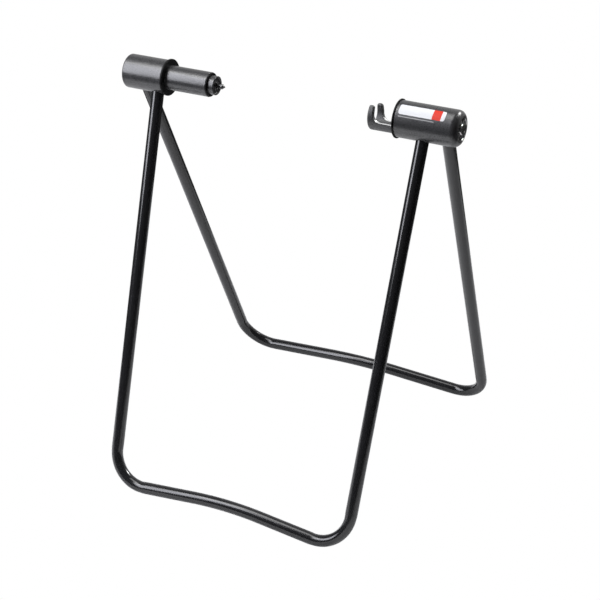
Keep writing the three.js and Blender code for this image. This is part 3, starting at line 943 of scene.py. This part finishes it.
for side, label in ((LEFT, "left"), (RIGHT, "right")):
    place(end_bolt(f"bolt_{label}", side, f"{label}_end_bolt"), "front_frame", "chrome", f"{label}_end_bolt")
    place(washer(f"washer_{label}", side, f"{label}_retaining_washer", 3.2),
          "front_frame", "chrome", f"{label}_retaining_washer")

main_coil = coil("plunger_coil", "main_spring", 9.0, 1.1, 9)
place(main_coil, "front_frame", "spring_steel", "main_spring")
pin_coil = coil("pin_coil", "pin_spring", 2.9, 0.4, 4)
place(pin_coil, "plunger", "spring_steel", "pin_spring")


def coil_squash(piece):
    """Gives a spring its own copy of its mesh."""
    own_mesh(piece)


coil_squash(main_coil)
coil_squash(pin_coil)

CARRIED_OVER = {
    "guide_sleeve": "textured_coat",
    "sleeve_end_plug": "dark_steel",
    "hook_end_plug": "dark_steel",
    "plunger_stop_collar": "dark_steel",
    "spring_seat": "dark_steel",
    "left_thrust_washer": "white_plastic",
    "right_thrust_washer": "white_plastic",
}
for node, material in CARRIED_OVER.items():
    dress(frame["nodes"][node], material)


# ======================================================================================
# Studio
# ======================================================================================

# The room's brightness away from the backdrop and on it, and where the backdrop fades in (direction Y and Z).
ROOM = {"dim": 0.05, "bright": 0.9, "backdrop_y": (0.2, 0.8), "backdrop_z": (-0.3, -0.05)}


def seen_and_lit(tree, seen, lit, output):
    """The camera sees one shader, and everything else is lit by the other."""
    mix = tree.nodes.new("ShaderNodeMixShader")
    path = tree.nodes.new("ShaderNodeLightPath")
    tree.links.new(path.outputs["Is Camera Ray"], mix.inputs["Fac"])
    tree.links.new(lit, mix.inputs[1])
    tree.links.new(seen, mix.inputs[2])
    tree.links.new(mix.outputs["Shader"], output)


def floor():
    """Plain pale floor, overexposed to white as the camera sees it."""
    n = Nodes("studio_floor")
    mottle = n.noise(90.0, detail=2.0)
    pale = n.mix(n.remap(mottle, 0, 1), grey(0.90), grey(0.93))
    bounce = n.add("ShaderNodeBsdfDiffuse", {"Color": pale}).outputs["BSDF"]
    seen = n.add("ShaderNodeEmission", {"Color": grey(1.0), "Strength": 1.0}).outputs["Emission"]
    seen_and_lit(n.tree, seen, bounce, n.output.inputs["Surface"])
    size = 0.6
    mesh = bpy.data.meshes.new("floor")
    corners = [(-size, -size, 0), (size, -size, 0), (size, size, 0), (-size, size, 0)]
    mesh.from_pydata(corners, [], [(0, 1, 2, 3)])
    mesh.materials.append(n.material)
    plane = bpy.data.objects.new("floor", mesh)
    bpy.context.scene.collection.objects.link(plane)


def softbox(name, position, target, width, height, watts, spread=180, colour=(1.0, 1.0, 1.0)):
    """Rectangular area light at position, aimed at target, both in metres."""
    light = bpy.data.lights.new(name, "AREA")
    light.spread = math.radians(spread)
    light.color = colour
    light.shape = "RECTANGLE"
    light.size, light.size_y = width, height
    light.energy = watts
    lamp = bpy.data.objects.new(name, light)
    bpy.context.scene.collection.objects.link(lamp)
    lamp.location = position
    lamp.rotation_euler = (Vector(target) - Vector(position)).to_track_quat("-Z", "Y").to_euler()


def world():
    """White backdrop behind the stand, and a dim room in front of it so that black paint keeps its depth."""
    studio = bpy.data.worlds.new("studio")
    studio.use_nodes = True
    tree = studio.node_tree
    tree.nodes.clear()
    output = tree.nodes.new("ShaderNodeOutputWorld")
    seen = tree.nodes.new("ShaderNodeBackground")
    seen.inputs["Color"].default_value = grey(1.0)
    lit = tree.nodes.new("ShaderNodeBackground")
    coords = tree.nodes.new("ShaderNodeTexCoord")
    split = tree.nodes.new("ShaderNodeSeparateXYZ")
    tree.links.new(coords.outputs["Generated"], split.inputs["Vector"])

    def ramp(axis, start, end):
        node = tree.nodes.new("ShaderNodeMapRange")
        node.interpolation_type = "SMOOTHSTEP"
        node.inputs["From Min"].default_value, node.inputs["From Max"].default_value = start, end
        tree.links.new(split.outputs[axis], node.inputs["Value"])
        return node.outputs["Result"]

    both = tree.nodes.new("ShaderNodeMath")
    both.operation = "MULTIPLY"
    tree.links.new(ramp("Y", *ROOM["backdrop_y"]), both.inputs[0])
    tree.links.new(ramp("Z", *ROOM["backdrop_z"]), both.inputs[1])
    strength = tree.nodes.new("ShaderNodeMapRange")
    strength.inputs["To Min"].default_value = ROOM["dim"]
    strength.inputs["To Max"].default_value = ROOM["bright"]
    tree.links.new(both.outputs[0], strength.inputs["Value"])
    tree.links.new(strength.outputs["Result"], lit.inputs["Strength"])
    seen_and_lit(tree, seen.outputs["Background"], lit.outputs["Background"], output.inputs["Surface"])
    bpy.context.scene.world = studio


def camera():
    """Camera above the stand's front right, looking down at it, rolled by a third of a degree."""
    azimuth, elevation, roll = (math.radians(v) for v in (26.45, 27.65, 0.3))
    forward = Vector((-math.sin(azimuth) * math.cos(elevation),
                      math.cos(azimuth) * math.cos(elevation), -math.sin(elevation)))
    right = Vector((math.cos(azimuth), math.sin(azimuth), 0))
    up = right.cross(forward)
    right, up = (right * math.cos(roll) + up * math.sin(roll), up * math.cos(roll) - right * math.sin(roll))
    lens = bpy.data.cameras.new("camera")
    lens.sensor_width, lens.lens = 36.0, 91.74
    lens.clip_start, lens.clip_end = 0.05, 50
    view = bpy.data.objects.new("camera", lens)
    bpy.context.scene.collection.objects.link(view)
    from_axle = Vector((0.6684, -1.3133, 0.9671 - DESIGN_AXLE_HEIGHT * MM))
    turn = Matrix((right, up, -forward)).transposed().to_4x4()
    view.matrix_world = Matrix.Translation(AXLE + from_axle) @ turn
    bpy.context.scene.camera = view


floor()
world()
softbox("key_left", (-0.92, -0.93, 1.19), (0.0, 0.0, 0.79), 0.7, 1.52, 36, colour=(0.92, 0.93, 1.0))
softbox("key_top", (-0.92, -0.50, 2.10), (0.0, 0.0, 0.4), 0.7, 0.8, 14)
softbox("overhead", (-0.35, 0.0, 1.9), (-0.35, 0.15, 0.0), 0.8, 0.8, 10)
softbox("right_back", (0.53, 0.62, 0.98), (0.20, -0.03, 0.43), 0.7, 0.7, 1.3, spread=25)
camera()
bpy.context.scene.view_settings.view_transform = "Standard"

bpy.context.view_layer.update()
